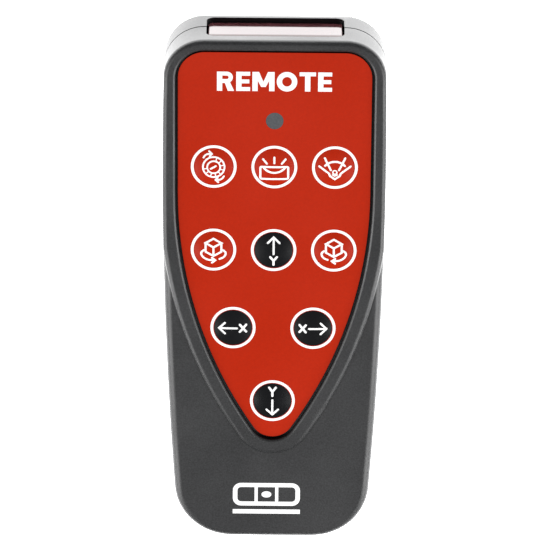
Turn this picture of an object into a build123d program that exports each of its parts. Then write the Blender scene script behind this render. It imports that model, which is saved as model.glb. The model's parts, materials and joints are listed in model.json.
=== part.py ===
"""Hand-held infra-red remote control for a rotary laser level.

The remote lies on its back: +Z is the normal of the key face, +Y points out of the end
with the infra-red window, and the origin is the centre of the flat back. Millimetres.
Two casing halves clamp the window between them. The front half carries the face panel,
nine sprung keys and the circuit board; the back half holds two AAA cells behind a door
that slides off the bottom end.
"""

from build123d import *

import os
from math import sqrt

# ---- overall casing --------------------------------------------------------------------------
LENGTH = 134.8
THICKNESS = 23.0  # back face to the top of the bezel
TOP_HALF_WIDTH = 27.0  # at the window end
WAIST_HALF_WIDTH = 27.5  # widest point
WAIST_Y = 22.0
FOOT_HALF_WIDTH = 23.55  # at the bottom end
TOP_CORNER_R = 10.0
FOOT_CORNER_R = 14.5
FOOT_CROWN = 0.4  # bow of the bottom end
WALL = 1.9
BACK_EDGE_R = 6.0
Y_TOP = LENGTH / 2
Y_FOOT = -LENGTH / 2
BEYOND = 1.0  # how far a cut runs past the surface it opens

# ---- joint between the two halves ------------------------------------------------------------
SEAM_Z = 13.0
SEAM_GAP = 0.5  # shadow gap seen from outside
TONGUE_INSET = 1.0  # outer skin in front of the tongue
TONGUE_Z = 14.0
FIT = 0.05  # clearance between pieces that meet
BOSS_GAP = 0.1

# ---- raised bezel and its pocket -------------------------------------------------------------
LOWER_FACE_Z = 22.0  # face either side of and below the bezel
BEZEL_EDGE_R = 1.2
LOWER_EDGE_R = 2.0
BEZEL_REACH = 4.72  # bezel edge outside the panel's edge
BEZEL_STEP_R = 1.4
POCKET_GAP = 0.7
POCKET_LIP = 0.3  # chamfer round the pocket's mouth
DECK_Z = 21.7  # floor that carries the face panel
DECK_T = 1.6
MOAT_Z = 20.9
CEILING_Z = DECK_Z - DECK_T

# ---- face panel ------------------------------------------------------------------------------
PANEL_T = 0.3
PANEL_TOP_Y = 64.1
PANEL_HALF_WIDTH = 23.65
PANEL_SIDE_END_Y = 27.0  # where the straight sides start to close in
PANEL_SIDE_R = 115.0
PANEL_CORNER_R = 6.5
PANEL_TIP_R = 5.5
PANEL_Z = DECK_Z + PANEL_T

# ---- keys ------------------------------------------------------------------------------------
KEY_PITCH = 14.87
ARROW_KEY_X = 9.95
KEY_R = 4.75
KEY_CLEAR = 0.03
KEY_RISE = 0.5
KEY_SKIN = 0.3
KEY_WELL_R = 4.95  # hole in the deck below each key
ROW_1_Y = 34.15
ROW_2_Y = 12.0
ROW_3_Y = -9.05
ROW_4_Y = -29.0
KEYS = {
    "speed": (-KEY_PITCH, ROW_1_Y),
    "light": (0, ROW_1_Y),
    "scan": (KEY_PITCH, ROW_1_Y),
    "turn_left": (-KEY_PITCH, ROW_2_Y),
    "y_up": (0, ROW_2_Y),
    "turn_right": (KEY_PITCH, ROW_2_Y),
    "x_left": (-ARROW_KEY_X, ROW_3_Y),
    "x_right": (ARROW_KEY_X, ROW_3_Y),
    "y_down": (0, ROW_4_Y),
}

# ---- circuit board and switches --------------------------------------------------------------
BOARD_TOP_Z = 15.2
BOARD_T = 1.6
BOARD_LOW_Z = BOARD_TOP_Z - BOARD_T
BOARD_END_Y = 55.0
BOARD_INSET = 1.5  # inside the panel's outline
BOARD_CLEAR = 0.5  # round the casing's screw bosses
SEAT_Z = BOARD_TOP_Z + FIT  # underside of the surface-mounted pieces
SWITCH_SIDE = 6.0
SWITCH_BODY_H = 3.3
SWITCH_FLOOR = 0.9
SWITCH_TOP_Z = SEAT_Z + SWITCH_BODY_H
COVER_T = 0.2
PLUNGER_R = 1.75
PLUNGER_BASE_R = 2.1
PLUNGER_BASE_T = 0.8
PLUNGER_TOP_Z = 22.1
TERMINAL_LENGTH = 1.2
TERMINAL_WIDTH = 0.7
TERMINAL_T = 0.2
TERMINAL_SPACING = 4.5

# ---- status light ----------------------------------------------------------------------------
STATUS_Y = 46.3
STATUS_R = 2.15
PIPE_R = 1.5
PIPE_COLLAR_R = 2.3
PIPE_COLLAR_T = 0.8
PIPE_LOW_Z = 17.2

# ---- infra-red window and emitters -----------------------------------------------------------
WINDOW_HALF_WIDTH = 16.7
WINDOW_LOW_Z = 6.7
WINDOW_HIGH_Z = 19.3
WINDOW_CORNER_R = 2.0
WINDOW_CLEAR = 0.15
WINDOW_RIDGE_Z = 12.9
WINDOW_FRONT_LEAN = 0.6  # how far the two facets fall back from the ridge
WINDOW_BACK_LEAN = 0.8
WINDOW_FLANGE = 0.7
WINDOW_FLANGE_T = 1.2
WINDOW_DEPTH = WALL + FIT + WINDOW_FLANGE_T
EMITTER_SPACING = 9.0
EMITTER_R = 2.5
EMITTER_RIM_R = 2.9
EMITTER_RIM_T = 1.0
EMITTER_BACK_Y = 55.4
EMITTER_BARREL = 5.0
EMITTER_Z = BOARD_TOP_Z - BOARD_T / 2
LEAD_SIDE = 0.5
LEAD_LENGTH = 5.0

# ---- battery bay, cells and door -------------------------------------------------------------
CELL_R = 5.25
CELL_LENGTH = 44.5
CELL_BUTTON_R = 1.9
CELL_BUTTON_H = 0.8
CELL_X = 5.6
CELL_Z = 7.35
BAY_HALF_WIDTH = 11.3
BAY_LOW_Y = -62.2
BAY_HIGH_Y = -10.0
BAY_WALL = 1.2
BAY_ROOF_Z = 12.7
BAY_TOP_Z = 13.5
LEDGE_HALF_WIDTH = 17.2
LEDGE_HIGH_Y = -6.8
LEDGE_Z = 3.2
DOOR_T = 1.8
DOOR_HALF_WIDTH = 14.3
DOOR_HIGH_Y = -8.5
DOOR_LIP_Z = 6.0
DOOR_LIP_Y = -63.6
DOOR_CLEAR = 0.15
RAIL_REACH = 1.1
RAIL_LOW_Z = 1.0
RAIL_LOW_Y = -58.0
RAIL_HIGH_Y = -11.0
GRIP_COUNT = 5
GRIP_PITCH = 1.9
GRIP_Y = -17.0
GRIP_LENGTH = 15.0
GRIP_WIDTH = 0.9
GRIP_DEPTH = 0.5

# ---- battery contacts ------------------------------------------------------------------------
PLATE_T = 0.4
PLATE_HEIGHT = 9.0
PLATE_CLEAR = 0.1
PLATE_WIDTH = 9.0
BUMP_H = 0.6
BUMP_R = 2.2
TAB_X = 2.5
TAB_WIDTH = 2.0
TAB_TOP_Z = 15.9
SPRING_LENGTH = 5.9
SPRING_TURNS = 4
SPRING_WIRE_R = 0.3
SPRING_R = 3.2

# ---- fasteners -------------------------------------------------------------------------------
CASE_BOSSES = [(-17.5, 56.8), (17.5, 56.8), (-19.2, -50.0), (19.2, -50.0)]
CASE_BOSS_R = 2.9
CASE_SCREW_R = 1.1
CASE_HEAD_R = 2.15
CASE_HEAD_H = 1.6
SCREW_WELL_R = 2.4
SCREW_WELL_Z = 5.0  # seat of the screw heads
SCREW_WELL_WALL = 1.2
CASE_SCREW_TOP_Z = 18.6
BOARD_BOSSES = [(-18.5, 48.0), (18.5, 48.0), (-15.0, 0.8), (15.0, 0.8)]
BOARD_BOSS_R = 2.2
BOARD_SCREW_R = 0.9
BOARD_HEAD_R = 1.7
BOARD_HEAD_H = 1.1
BOARD_SCREW_TOP_Z = 18.4
SCREW_CLEAR = 0.15
PILOT_SPARE = 0.4  # depth of a pilot hole beyond the screw's point
RECESS_ARM = 2.0
RECESS_WIDTH = 0.5
RECESS_DEPTH = 0.8

# ---- components on the board -----------------------------------------------------------------
CHIP_Y = 23.0
CHIP_LENGTH = 10.0
CHIP_WIDTH = 3.9
CHIP_H = 1.5
CHIP_STANDOFF = 0.15
PIN_COUNT = 8  # on each side of the chip
PIN_PITCH = 1.27
PIN_WIDTH = 0.4
PIN_RUN = 0.9  # length of a pin's foot and of its shoulder
PIN_T = 0.2
PIN_H = 0.6
FOOT_SPREAD = 5.2  # between the two rows of feet, shoulders and risers
SHOULDER_SPREAD = 4.5
RISER_SPREAD = 4.85
CRYSTAL_X = 14.0
CRYSTAL_LENGTH = 10.2
CRYSTAL_WIDTH = 3.8
CRYSTAL_H = 3.5
CRYSTAL_RIM = 0.5
TRANSISTOR_X = -13.5
TRANSISTOR_SIZE = (2.9, 1.4, 1.0)
TRANSISTOR_Z = 0.65  # middle of the body above the seat
LEG_SIZE = (0.45, 0.9, 0.5)
LEG_PLACES = [(-0.95, -1.0), (0.95, -1.0), (0, 1.0)]
CAPACITOR_X = -12.0
CAPACITOR_R = 2.5
CAPACITOR_H = 7.0
CAN_EDGE_R = 0.4  # rolled edges of the capacitor and the cells
RESISTOR_Y = 41.6
RESISTOR_PITCH = 2.8
RESISTOR_SIZE = (2.0, 1.25, 0.6)
LED_BASE_SIZE = (3.2, 1.6, 0.8)
LED_LENS_SIZE = (2.0, 1.6, 0.5)


def casing_plan(inset=0.0):
    """Plan of the casing: almost flat ends, slightly bowed sides, rounded corners."""
    top_y = Y_TOP - inset
    foot_y = Y_FOOT + inset
    foot_side_y = foot_y + FOOT_CROWN
    top_x = TOP_HALF_WIDTH - inset
    foot_x = FOOT_HALF_WIDTH - inset
    with BuildSketch() as plan:
        with BuildLine():
            Line((-top_x, top_y), (top_x, top_y))
            for side in (-1, 1):
                ThreePointArc(
                    (side * top_x, top_y),
                    (side * (WAIST_HALF_WIDTH - inset), WAIST_Y),
                    (side * foot_x, foot_side_y),
                )
            ThreePointArc((-foot_x, foot_side_y), (0, foot_y), (foot_x, foot_side_y))
        make_face()
        fillet(plan.vertices().group_by(Axis.Y)[-1], TOP_CORNER_R - inset)
        fillet(plan.vertices().group_by(Axis.Y)[0], FOOT_CORNER_R - inset)
    return plan.sketch


def panel_plan(margin=0.0):
    """Shield shape, grown by margin: the sides close in along large arcs to a round tip."""
    top_y = PANEL_TOP_Y + margin
    half_width = PANEL_HALF_WIDTH + margin
    side_r = PANEL_SIDE_R + margin
    tip_y = PANEL_SIDE_END_Y - sqrt(side_r**2 - (side_r - half_width) ** 2)
    with BuildSketch() as plan:
        with BuildLine():
            Line((-half_width, top_y), (half_width, top_y))
            for side in (-1, 1):
                hip = (side * half_width, PANEL_SIDE_END_Y)
                Line((side * half_width, top_y), hip)
                TangentArc(hip, (0, tip_y), tangent=(0, -1))
        make_face()
        fillet(plan.vertices().group_by(Axis.Y)[-1], PANEL_CORNER_R + margin)
        fillet(plan.vertices().group_by(Axis.Y)[0], PANEL_TIP_R + margin)
    return plan.sketch


def window_prism(margin, back_y, front_y):
    """The window's rounded rectangle, grown by margin, between two heights along Y."""
    with BuildPart(mode=Mode.PRIVATE) as solid:
        with BuildSketch(Plane.XZ.offset(-front_y)):
            with Locations((0, (WINDOW_HIGH_Z + WINDOW_LOW_Z) / 2)):
                RectangleRounded(
                    2 * (WINDOW_HALF_WIDTH + margin),
                    WINDOW_HIGH_Z - WINDOW_LOW_Z + 2 * margin,
                    WINDOW_CORNER_R + margin,
                )
        extrude(amount=front_y - back_y)
    return solid.part


def block(x_range, y_range, z_range, mode=Mode.ADD):
    """A box given by its limits along each axis, added to the open builder."""
    spans = (x_range, y_range, z_range)
    centre = Vector(*[(low + high) / 2 for low, high in spans])
    with Locations(centre):
        Box(*[high - low for low, high in spans], mode=mode)


def post(x, y, radius, low_z, high_z, mode=Mode.ADD):
    """An upright cylinder between two heights, added to the open builder."""
    with Locations((x, y, (low_z + high_z) / 2)):
        Cylinder(radius, high_z - low_z, mode=mode)


os.makedirs("parts", exist_ok=True)

# ---- front casing half -----------------------------------------------------------------------
with BuildPart() as bezel_step:
    with BuildSketch(Plane.XY.offset(SEAM_Z)):
        add(panel_plan(BEZEL_REACH))
    extrude(amount=THICKNESS - SEAM_Z)
    fillet(bezel_step.faces().sort_by(Axis.Z)[-1].edges(), BEZEL_STEP_R)

with BuildPart() as bezel:
    with BuildSketch(Plane.XY.offset(SEAM_Z + SEAM_GAP / 2)):
        add(casing_plan())
    extrude(amount=THICKNESS - SEAM_Z - SEAM_GAP / 2)
    fillet(bezel.faces().sort_by(Axis.Z)[-1].edges(), BEZEL_EDGE_R)
    add(bezel_step.part, mode=Mode.INTERSECT)

with BuildPart() as front_shell:
    with BuildSketch(Plane.XY.offset(SEAM_Z + SEAM_GAP / 2)):
        add(casing_plan())
    extrude(amount=LOWER_FACE_Z - SEAM_Z - SEAM_GAP / 2)
    fillet(front_shell.faces().sort_by(Axis.Z)[-1].edges(), LOWER_EDGE_R)
    add(bezel.part)
    # pocket for the panel, with a moat round the deck and a softened mouth
    with BuildSketch(Plane.XY.offset(MOAT_Z)):
        add(panel_plan(POCKET_GAP))
    extrude(amount=THICKNESS - MOAT_Z, mode=Mode.SUBTRACT)
    with BuildSketch(Plane.XY.offset(THICKNESS - POCKET_LIP)):
        add(panel_plan(POCKET_GAP))
    extrude(amount=2 * POCKET_LIP, taper=-45, mode=Mode.SUBTRACT)
    # hollow inside and the rebate for the back half's tongue
    with BuildSketch(Plane.XY.offset(SEAM_Z)):
        add(casing_plan(WALL))
    extrude(amount=CEILING_Z - SEAM_Z, mode=Mode.SUBTRACT)
    with BuildSketch(Plane.XY.offset(SEAM_Z)):
        add(casing_plan(TONGUE_INSET))
    extrude(amount=TONGUE_Z + FIT - SEAM_Z, mode=Mode.SUBTRACT)
    # deck under the panel
    with BuildSketch(Plane.XY.offset(CEILING_Z)):
        add(panel_plan())
    extrude(amount=DECK_T)
    for x, y in KEYS.values():
        post(x, y, KEY_WELL_R, CEILING_Z - BEYOND, DECK_Z + BEYOND, Mode.SUBTRACT)
    post(0, STATUS_Y, PIPE_R + FIT, CEILING_Z - BEYOND, DECK_Z + BEYOND, Mode.SUBTRACT)
    for x, y in CASE_BOSSES:
        post(x, y, CASE_BOSS_R, SEAM_Z + BOSS_GAP, CEILING_Z + DECK_T / 4)
        post(x, y, CASE_SCREW_R + FIT, SEAM_Z, CASE_SCREW_TOP_Z + PILOT_SPARE, Mode.SUBTRACT)
    for x, y in BOARD_BOSSES:
        post(x, y, BOARD_BOSS_R, SEAT_Z, CEILING_Z + DECK_T / 4)
        post(x, y, BOARD_SCREW_R + FIT, SEAM_Z, BOARD_SCREW_TOP_Z + PILOT_SPARE, Mode.SUBTRACT)
    add(window_prism(WINDOW_CLEAR, Y_TOP - WINDOW_DEPTH, Y_TOP + BEYOND), mode=Mode.SUBTRACT)
front_shell.part.label = "front_shell"
export_step(front_shell.part, "parts/front_shell.step")

# ---- back casing half ------------------------------------------------------------------------
with BuildPart() as back_outer:
    with BuildSketch(Plane.XY):
        add(casing_plan())
    extrude(amount=SEAM_Z - SEAM_GAP / 2)
    fillet(back_outer.faces().sort_by(Axis.Z)[0].edges(), BACK_EDGE_R)

with BuildPart() as back_hollow:
    with BuildSketch(Plane.XY.offset(WALL)):
        add(casing_plan(WALL))
    extrude(amount=SEAM_Z)
    fillet(back_hollow.faces().sort_by(Axis.Z)[0].edges(), BACK_EDGE_R - WALL)

with BuildPart() as floor_ledge:
    block((-LEDGE_HALF_WIDTH, LEDGE_HALF_WIDTH), (Y_FOOT, LEDGE_HIGH_Y), (0, LEDGE_Z))
    add(back_outer.part, mode=Mode.INTERSECT)

with BuildPart() as back_shell:
    add(back_outer.part)
    add(back_hollow.part, mode=Mode.SUBTRACT)
    with BuildSketch(Plane.XY.offset(SEAM_Z - SEAM_GAP)):
        add(casing_plan(TONGUE_INSET + FIT))
        add(casing_plan(WALL), mode=Mode.SUBTRACT)
    extrude(amount=TONGUE_Z - SEAM_Z + SEAM_GAP)
    add(floor_ledge.part)
    block(
        (-BAY_HALF_WIDTH - BAY_WALL, BAY_HALF_WIDTH + BAY_WALL),
        (BAY_LOW_Y - BAY_WALL, BAY_HIGH_Y + BAY_WALL),
        (WALL / 2, BAY_TOP_Z),
    )
    for x, y in CASE_BOSSES:
        post(x, y, SCREW_WELL_R + SCREW_WELL_WALL, WALL / 2, SEAM_Z)
    # battery bay, then the space for the door, its end lip and its rails
    block(
        (-BAY_HALF_WIDTH, BAY_HALF_WIDTH),
        (BAY_LOW_Y, BAY_HIGH_Y),
        (-BEYOND, BAY_ROOF_Z),
        Mode.SUBTRACT,
    )
    door_gap = DOOR_HALF_WIDTH + DOOR_CLEAR
    door_end = DOOR_HIGH_Y + DOOR_CLEAR
    beyond_foot = Y_FOOT - BEYOND
    block(
        (-door_gap, door_gap), (beyond_foot, door_end), (-BEYOND, DOOR_T + FIT), Mode.SUBTRACT
    )
    block(
        (-door_gap, door_gap),
        (beyond_foot, DOOR_LIP_Y + DOOR_CLEAR),
        (-BEYOND, DOOR_LIP_Z + DOOR_CLEAR),
        Mode.SUBTRACT,
    )
    rail_gap = door_gap + RAIL_REACH
    block(
        (-rail_gap, rail_gap),
        (beyond_foot, door_end),
        (RAIL_LOW_Z - FIT, DOOR_T + FIT),
        Mode.SUBTRACT,
    )
    for side in (-1, 1):
        with Locations((side * TAB_X, BAY_HIGH_Y - PLATE_CLEAR - PLATE_T / 2, BAY_TOP_Z)):
            Box(TAB_WIDTH + 2 * DOOR_CLEAR, PLATE_T + 2 * PLATE_CLEAR, BAY_TOP_Z, mode=Mode.SUBTRACT)
    for x, y in CASE_BOSSES:
        post(x, y, SCREW_WELL_R, -BEYOND, SCREW_WELL_Z, Mode.SUBTRACT)
        post(x, y, CASE_SCREW_R + SCREW_CLEAR, -BEYOND, SEAM_Z + BEYOND, Mode.SUBTRACT)
    add(window_prism(WINDOW_CLEAR, Y_TOP - WINDOW_DEPTH, Y_TOP + BEYOND), mode=Mode.SUBTRACT)
back_shell.part.label = "back_shell"
export_step(back_shell.part, "parts/back_shell.step")

# ---- battery door ----------------------------------------------------------------------------
with BuildPart() as battery_door:
    block((-DOOR_HALF_WIDTH, DOOR_HALF_WIDTH), (Y_FOOT, DOOR_HIGH_Y), (0, DOOR_T))
    block((-DOOR_HALF_WIDTH, DOOR_HALF_WIDTH), (Y_FOOT, DOOR_LIP_Y), (0, DOOR_LIP_Z))
    add(back_outer.part, mode=Mode.INTERSECT)
    rail_edge = DOOR_HALF_WIDTH + RAIL_REACH
    block((-rail_edge, rail_edge), (RAIL_LOW_Y, RAIL_HIGH_Y), (RAIL_LOW_Z, DOOR_T))
    with Locations((0, GRIP_Y, 0)):
        with GridLocations(0, GRIP_PITCH, 1, GRIP_COUNT):
            Box(GRIP_LENGTH, GRIP_WIDTH, 2 * GRIP_DEPTH, mode=Mode.SUBTRACT)
battery_door.part.label = "battery_door"
export_step(battery_door.part, "parts/battery_door.step")

# ---- infra-red window ------------------------------------------------------------------------
with BuildPart() as ir_window:
    add(window_prism(0, Y_TOP - WINDOW_DEPTH, Y_TOP))
    add(window_prism(WINDOW_FLANGE, Y_TOP - WINDOW_DEPTH, Y_TOP - WALL - FIT))
    # the outer face falls back above and below a ridge
    with BuildSketch(Plane.YZ.offset(-WINDOW_HALF_WIDTH)):
        with BuildLine():
            Polyline(
                (Y_TOP - WINDOW_FRONT_LEAN, WINDOW_HIGH_Z),
                (Y_TOP, WINDOW_RIDGE_Z),
                (Y_TOP - WINDOW_BACK_LEAN, WINDOW_LOW_Z),
                (Y_TOP + BEYOND, WINDOW_LOW_Z),
                (Y_TOP + BEYOND, WINDOW_HIGH_Z),
                close=True,
            )
        make_face()
    extrude(amount=2 * WINDOW_HALF_WIDTH, mode=Mode.SUBTRACT)
ir_window.part.label = "ir_window"
export_step(ir_window.part, "parts/ir_window.step")

# ---- face panel and status window ------------------------------------------------------------
with BuildPart() as face_panel:
    with BuildSketch(Plane.XY.offset(DECK_Z)):
        add(panel_plan())
        with Locations(*KEYS.values()):
            Circle(KEY_R + KEY_CLEAR, mode=Mode.SUBTRACT)
        with Locations((0, STATUS_Y)):
            Circle(STATUS_R + KEY_CLEAR, mode=Mode.SUBTRACT)
    extrude(amount=PANEL_T)
face_panel.part.label = "face_panel"
export_step(face_panel.part, "parts/face_panel.step")

with BuildPart() as status_window:
    post(0, STATUS_Y, STATUS_R, DECK_Z, PANEL_Z)
status_window.part.label = "status_window"
export_step(status_window.part, "parts/status_window.step")

with BuildPart() as light_pipe:
    post(0, STATUS_Y, PIPE_R, PIPE_LOW_Z, DECK_Z - FIT)
    post(0, STATUS_Y, PIPE_COLLAR_R, CEILING_Z - FIT - PIPE_COLLAR_T, CEILING_Z - FIT)
light_pipe.part.label = "light_pipe"
export_step(light_pipe.part, "parts/light_pipe.step")

# ---- keys and the plungers they press --------------------------------------------------------
for name, (x, y) in KEYS.items():
    dome_top_z = PANEL_Z + KEY_RISE
    with BuildPart() as key:
        with BuildSketch(Plane.XZ.offset(-y)):
            with Locations((x, 0)):
                with BuildLine():
                    for drop in (0, KEY_SKIN):
                        ThreePointArc(
                            (x - KEY_R, PANEL_Z - drop),
                            (x, dome_top_z - drop),
                            (x + KEY_R, PANEL_Z - drop),
                        )
                    for side in (-1, 1):
                        Line((x + side * KEY_R, PANEL_Z), (x + side * KEY_R, DECK_Z))
                make_face()
            split(bisect_by=Plane.YZ.offset(x), keep=Keep.TOP)
        revolve(axis=Axis((x, y, 0), (0, 0, 1)))
    key.part.label = "key_" + name
    export_step(key.part, f"parts/key_{name}.step")

    with BuildPart() as plunger:
        base_top_z = SWITCH_TOP_Z - FIT
        post(x, y, PLUNGER_BASE_R, base_top_z - PLUNGER_BASE_T, base_top_z)
        post(x, y, PLUNGER_R, base_top_z - PLUNGER_BASE_T, PLUNGER_TOP_Z)
    plunger.part.label = "plunger_" + name
    export_step(plunger.part, f"parts/plunger_{name}.step")

# ---- switches: bodies, metal covers and soldered terminals -----------------------------------
with BuildPart() as switch_bodies:
    for x, y in KEYS.values():
        with Locations((x, y, SEAT_Z + SWITCH_BODY_H / 2)):
            Box(SWITCH_SIDE, SWITCH_SIDE, SWITCH_BODY_H)
        post(
            x,
            y,
            PLUNGER_BASE_R + 2 * FIT,
            SEAT_Z + SWITCH_FLOOR,
            SWITCH_TOP_Z + BEYOND,
            Mode.SUBTRACT,
        )
switch_bodies.part.label = "switch_bodies"
export_step(switch_bodies.part, "parts/switch_bodies.step")

with BuildPart() as switch_covers:
    for x, y in KEYS.values():
        with Locations((x, y, SWITCH_TOP_Z + COVER_T / 2)):
            Box(SWITCH_SIDE, SWITCH_SIDE, COVER_T)
        post(
            x, y, PLUNGER_R + FIT, SWITCH_TOP_Z - BEYOND, SWITCH_TOP_Z + BEYOND, Mode.SUBTRACT
        )
switch_covers.part.label = "switch_covers"
export_step(switch_covers.part, "parts/switch_covers.step")

with BuildPart() as switch_terminals:
    spread = SWITCH_SIDE + TERMINAL_LENGTH + 2 * FIT
    for x, y in KEYS.values():
        with Locations((x, y, SEAT_Z + TERMINAL_T / 2)):
            with GridLocations(spread, TERMINAL_SPACING, 2, 2):
                Box(TERMINAL_LENGTH, TERMINAL_WIDTH, TERMINAL_T)
switch_terminals.part.label = "switch_terminals"
export_step(switch_terminals.part, "parts/switch_terminals.step")

# ---- circuit board ---------------------------------------------------------------------------
with BuildPart() as circuit_board:
    with BuildSketch(Plane.XY.offset(BOARD_LOW_Z)):
        add(panel_plan(-BOARD_INSET))
        with Locations((0, BOARD_END_Y)):
            Rectangle(
                2 * PANEL_HALF_WIDTH, LENGTH, align=(Align.CENTER, Align.MIN), mode=Mode.SUBTRACT
            )
        with Locations(*CASE_BOSSES):
            Circle(CASE_BOSS_R + BOARD_CLEAR, mode=Mode.SUBTRACT)
        with Locations(*BOARD_BOSSES):
            Circle(BOARD_SCREW_R + SCREW_CLEAR, mode=Mode.SUBTRACT)
        tab_y = BAY_HIGH_Y - PLATE_CLEAR - PLATE_T / 2
        with Locations((-TAB_X, tab_y), (TAB_X, tab_y)):
            Rectangle(TAB_WIDTH + 2 * PLATE_CLEAR, PLATE_T + 2 * PLATE_CLEAR, mode=Mode.SUBTRACT)
    extrude(amount=BOARD_T)
circuit_board.part.label = "circuit_board"
export_step(circuit_board.part, "parts/circuit_board.step")

# ---- components on the board -----------------------------------------------------------------
with BuildPart() as control_chip:
    with Locations((0, CHIP_Y, SEAT_Z + CHIP_STANDOFF + CHIP_H / 2)):
        Box(CHIP_LENGTH, CHIP_WIDTH, CHIP_H)
    with Locations((0, CHIP_Y, SEAT_Z + PIN_T / 2)):
        with GridLocations(PIN_PITCH, FOOT_SPREAD, PIN_COUNT, 2):
            Box(PIN_WIDTH, PIN_RUN, PIN_T)
    with Locations((0, CHIP_Y, SEAT_Z + PIN_H - PIN_T / 2)):
        with GridLocations(PIN_PITCH, SHOULDER_SPREAD, PIN_COUNT, 2):
            Box(PIN_WIDTH, PIN_RUN, PIN_T)
    with Locations((0, CHIP_Y, SEAT_Z + PIN_H / 2)):
        with GridLocations(PIN_PITCH, RISER_SPREAD, PIN_COUNT, 2):
            Box(PIN_WIDTH, PIN_T, PIN_H)
control_chip.part.label = "control_chip"
export_step(control_chip.part, "parts/control_chip.step")

with BuildPart() as crystal:
    with BuildSketch(Plane.XY.offset(SEAT_Z)):
        with Locations((CRYSTAL_X, CHIP_Y)):
            SlotOverall(CRYSTAL_LENGTH + 2 * CRYSTAL_RIM, CRYSTAL_WIDTH + 2 * CRYSTAL_RIM)
    extrude(amount=CRYSTAL_RIM)
    with BuildSketch(Plane.XY.offset(SEAT_Z + CRYSTAL_RIM)):
        with Locations((CRYSTAL_X, CHIP_Y)):
            SlotOverall(CRYSTAL_LENGTH, CRYSTAL_WIDTH)
    extrude(amount=CRYSTAL_H - CRYSTAL_RIM)
    fillet(crystal.faces().sort_by(Axis.Z)[-1].edges(), CRYSTAL_RIM)
crystal.part.label = "crystal"
export_step(crystal.part, "parts/crystal.step")

with BuildPart() as driver_transistor:
    with Locations((TRANSISTOR_X, CHIP_Y, SEAT_Z + TRANSISTOR_Z)):
        Box(*TRANSISTOR_SIZE)
    with Locations((TRANSISTOR_X, CHIP_Y, SEAT_Z + LEG_SIZE[2] / 2)):
        with Locations(*LEG_PLACES):
            Box(*LEG_SIZE)
driver_transistor.part.label = "driver_transistor"
export_step(driver_transistor.part, "parts/driver_transistor.step")

with BuildPart() as capacitor:
    post(CAPACITOR_X, CHIP_Y, CAPACITOR_R, BOARD_LOW_Z - FIT - CAPACITOR_H, BOARD_LOW_Z - FIT)
    fillet(capacitor.faces().sort_by(Axis.Z)[0].edges(), CAN_EDGE_R)
capacitor.part.label = "capacitor"
export_step(capacitor.part, "parts/capacitor.step")

with BuildPart() as chip_resistors:
    with Locations((0, RESISTOR_Y, SEAT_Z + RESISTOR_SIZE[2] / 2)):
        with GridLocations(EMITTER_SPACING, RESISTOR_PITCH, 3, 2):
            Box(*RESISTOR_SIZE)
chip_resistors.part.label = "chip_resistors"
export_step(chip_resistors.part, "parts/chip_resistors.step")

with BuildPart() as status_led:
    with Locations((0, STATUS_Y, SEAT_Z + LED_BASE_SIZE[2] / 2)):
        Box(*LED_BASE_SIZE)
    with Locations((0, STATUS_Y, SEAT_Z + LED_BASE_SIZE[2] + LED_LENS_SIZE[2] / 2)):
        Box(*LED_LENS_SIZE)
status_led.part.label = "status_led"
export_step(status_led.part, "parts/status_led.step")

with BuildPart() as ir_emitters:
    dome_y = EMITTER_BACK_Y + EMITTER_RIM_T + EMITTER_BARREL
    with Locations((0, 0, EMITTER_Z)):
        with GridLocations(EMITTER_SPACING, 0, 3, 1):
            with Locations(Location((0, EMITTER_BACK_Y, 0), (-90, 0, 0))):
                Cylinder(EMITTER_RIM_R, EMITTER_RIM_T, align=(Align.CENTER, Align.CENTER, Align.MIN))
                Cylinder(
                    EMITTER_R,
                    EMITTER_RIM_T + EMITTER_BARREL,
                    align=(Align.CENTER, Align.CENTER, Align.MIN),
                )
            with Locations((0, dome_y, 0)):
                Sphere(EMITTER_R)
            lead_z = BOARD_T / 2 + FIT + LEAD_SIDE / 2
            with Locations(
                (0, EMITTER_BACK_Y - LEAD_LENGTH / 2, lead_z),
                (0, EMITTER_BACK_Y - LEAD_LENGTH / 2, -lead_z),
            ):
                Box(LEAD_SIDE, LEAD_LENGTH, LEAD_SIDE)
ir_emitters.part.label = "ir_emitters"
export_step(ir_emitters.part, "parts/ir_emitters.step")

# ---- cells, springs and contacts -------------------------------------------------------------
high_plate_y = BAY_HIGH_Y - PLATE_CLEAR - PLATE_T  # inner faces of the contact plates
low_plate_y = BAY_LOW_Y + PLATE_CLEAR + PLATE_T


def cell(x, tip_y, direction):
    """One AAA cell whose button's tip is at tip_y and points along direction on Y."""
    can = CELL_LENGTH - CELL_BUTTON_H
    with Locations(Location((x, tip_y, CELL_Z), (90 * direction, 0, 0))):
        Cylinder(CELL_BUTTON_R, CELL_LENGTH, align=(Align.CENTER, Align.CENTER, Align.MIN))
    with Locations(Location((x, tip_y - direction * CELL_BUTTON_H, CELL_Z), (90 * direction, 0, 0))):
        Cylinder(CELL_R, can, align=(Align.CENTER, Align.CENTER, Align.MIN))
    fillet(
        edges().filter_by(GeomType.CIRCLE).filter_by(lambda e: e.radius > CELL_R - FIT), CAN_EDGE_R
    )


with BuildPart() as battery_1:
    cell(-CELL_X, high_plate_y - BUMP_H - FIT, 1)
battery_1.part.label = "battery_1"
export_step(battery_1.part, "parts/battery_1.step")

with BuildPart() as battery_2:
    cell(CELL_X, low_plate_y + BUMP_H + FIT, -1)
battery_2.part.label = "battery_2"
export_step(battery_2.part, "parts/battery_2.step")


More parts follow.
